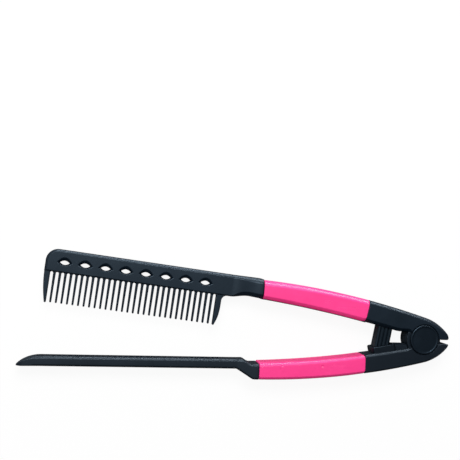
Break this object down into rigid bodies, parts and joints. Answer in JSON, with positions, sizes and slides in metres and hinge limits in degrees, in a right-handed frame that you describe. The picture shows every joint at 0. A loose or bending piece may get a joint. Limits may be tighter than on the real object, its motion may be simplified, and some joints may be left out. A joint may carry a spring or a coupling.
{
  "type": "straightening comb",
  "caption": "Tong-shaped straightening comb: a toothed comb arm hinged to a slotted press arm, with a spring guide post, a round hinge hub and moulded grips.",
  "frame": {"origin": "on the hinge axis, on the flat face of the back hub cap that the tool lies on", "axes": "+X along the press plate towards the noses beyond the hinge, +Y towards the comb arm, +Z along the hinge axis out of the front face"},
  "size_m": [0.2423, 0.0686, 0.015],
  "materials": {
    "black_plastic": "satin",
    "pink_grip": "satin",
    "steel": "brushed"
  },
  "bodies": {
    "press_side": {"press_arm": "black_plastic", "press_grip": "pink_grip", "guide_collar": "black_plastic", "return_spring": "steel", "pivot_barrel": "steel", "pivot_screw": "steel", "front_washer": "steel", "back_washer": "steel", "front_cap": "black_plastic", "back_cap": "black_plastic"},
    "comb_side": {"comb_arm": "black_plastic", "comb_grip": "pink_grip", "guide_post": "black_plastic"}
  },
  "joints": [
    {"name": "arm_hinge", "type": "hinge", "parent": "press_side", "child": "comb_side", "pos_m": [0, 0, 0], "axis": [0, 0, 1], "range_deg": [-7, 12], "stiffness_Nm_per_rad": 0.8, "deforming": ["return_spring"]}
  ]
}
